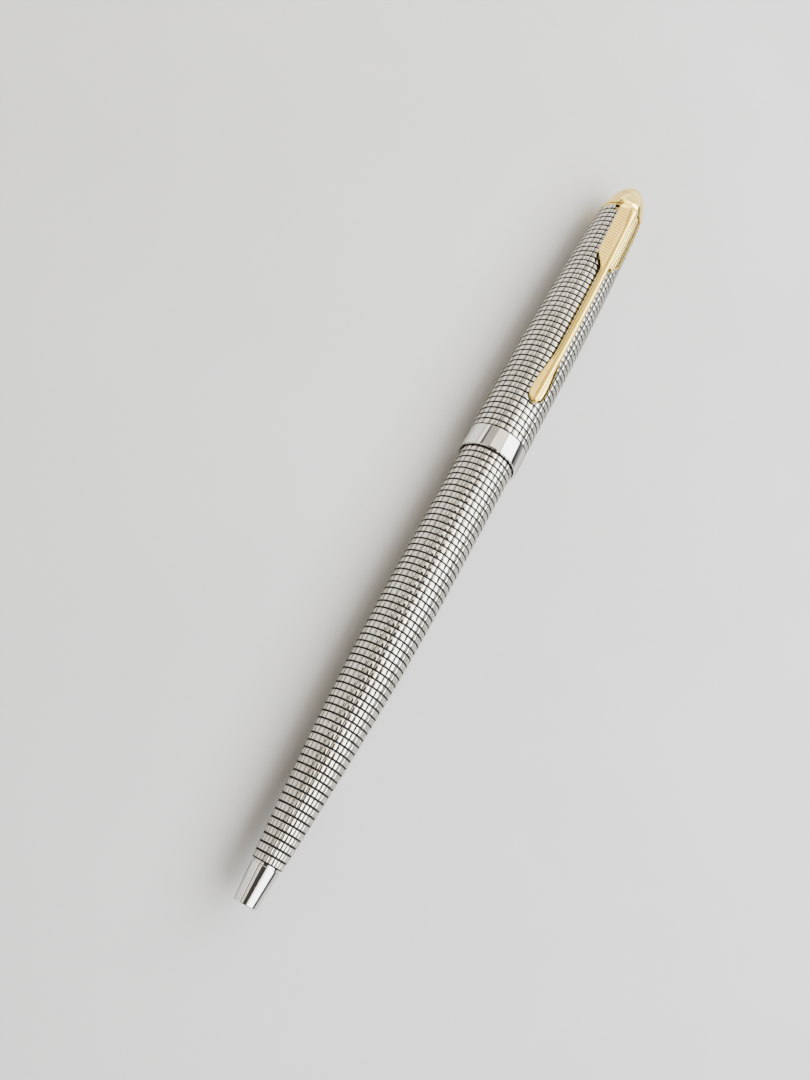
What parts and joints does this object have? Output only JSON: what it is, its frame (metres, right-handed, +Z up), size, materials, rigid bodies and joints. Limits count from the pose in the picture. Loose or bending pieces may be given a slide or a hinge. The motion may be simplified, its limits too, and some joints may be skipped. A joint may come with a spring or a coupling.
{
  "type": "rollerball pen",
  "caption": "Slim metal pen with a press-down cap and a pocket clip that pushes out a spring-loaded rollerball refill and unscrews to change it.",
  "frame": {"origin": "middle of the pen's length, on the surface it lies on, under its lowest point, the cap's polished band", "axes": "+X along the pen from its nose to its finial, +Z up through the clip, +Y to complete a right-handed frame"},
  "size_m": [0.132, 0.0098, 0.0111],
  "materials": {
    "silver": "engraved silver, bright cells and oxidised grooves",
    "polished_silver": "polished silver",
    "gold": "polished pale gold plate on brass",
    "brass": "turned brass",
    "steel": "drawn stainless steel",
    "spring_steel": "spring steel",
    "black_plastic": "black acetal",
    "white_plastic": "white acetal",
    "rubber": "black rubber",
    "tungsten": "ground carbide"
  },
  "bodies": {
    "barrel": {"nose_cone": "polished_silver", "barrel_shell": "silver", "barrel_liner": "brass", "barrel_bush": "brass", "return_spring": "spring_steel"},
    "seal": {"seal_washer": "rubber"},
    "mechanism": {"mechanism_tube": "brass", "cam_sleeve": "white_plastic", "retaining_ring": "spring_steel"},
    "plunger": {"plunger": "black_plastic"},
    "rotor": {"cam_rotor": "white_plastic"},
    "refill": {"refill_body": "steel", "refill_crown": "black_plastic", "point_holder": "steel"},
    "ball": {"ball": "tungsten"},
    "cap": {"cap_shell": "silver", "cap_band": "polished_silver", "cap_liner": "brass", "cap_plug": "brass", "clip_ring": "gold", "finial_ring": "gold", "finial_dome": "gold", "finial_screw": "steel"},
    "clip": {"clip": "gold"}
  },
  "joints": [
    {"name": "unscrew_lead", "type": "slide", "parent": "barrel", "child": "seal", "axis": [1, 0, 0], "range_m": [0, 0.003]},
    {"name": "unscrew_turn", "type": "hinge", "parent": "seal", "child": "mechanism", "pos_m": [-0.00124, 0, 0.00486], "axis": [1, 0, 0], "range_deg": [0, 1440]},
    {"name": "cap_press", "type": "slide", "parent": "mechanism", "child": "cap", "axis": [-1, 0, 0], "range_m": [0, 0.0034], "stiffness_N_per_m": 500, "springref_m": -0.002},
    {"name": "plunger_push", "type": "slide", "parent": "mechanism", "child": "plunger", "axis": [-1, 0, 0], "range_m": [0, 0.0034]},
    {"name": "rotor_turn", "type": "hinge", "parent": "plunger", "child": "rotor", "pos_m": [0.03298, 0, 0.00486], "axis": [1, 0, 0], "range_deg": [0, 45]},
    {"name": "refill_advance", "type": "slide", "parent": "barrel", "child": "refill", "axis": [-1, 0, 0], "range_m": [0, 0.0034], "deforming": ["return_spring"]},
    {"name": "ball_roll", "type": "hinge", "parent": "refill", "child": "ball", "pos_m": [-0.06477, 0, 0.00486], "axis": [0, 1, 0], "continuous": true},
    {"name": "clip_flex", "type": "hinge", "parent": "cap", "child": "clip", "pos_m": [0.05959, 0, 0.00881], "axis": [0, 1, 0], "range_deg": [0, 4], "stiffness_Nm_per_rad": 3.3, "springref_deg": -1.15}
  ],
  "couplings": [
    {"joint": "unscrew_turn", "follows": "unscrew_lead", "rad_per_m": 8377},
    {"joint": "plunger_push", "follows": "cap_press", "ratio": 1},
    {"joint": "rotor_turn", "follows": "cap_press", "rad_per_m": 230.9},
    {"joint": "refill_advance", "follows": "cap_press", "ratio": 1}
  ]
}
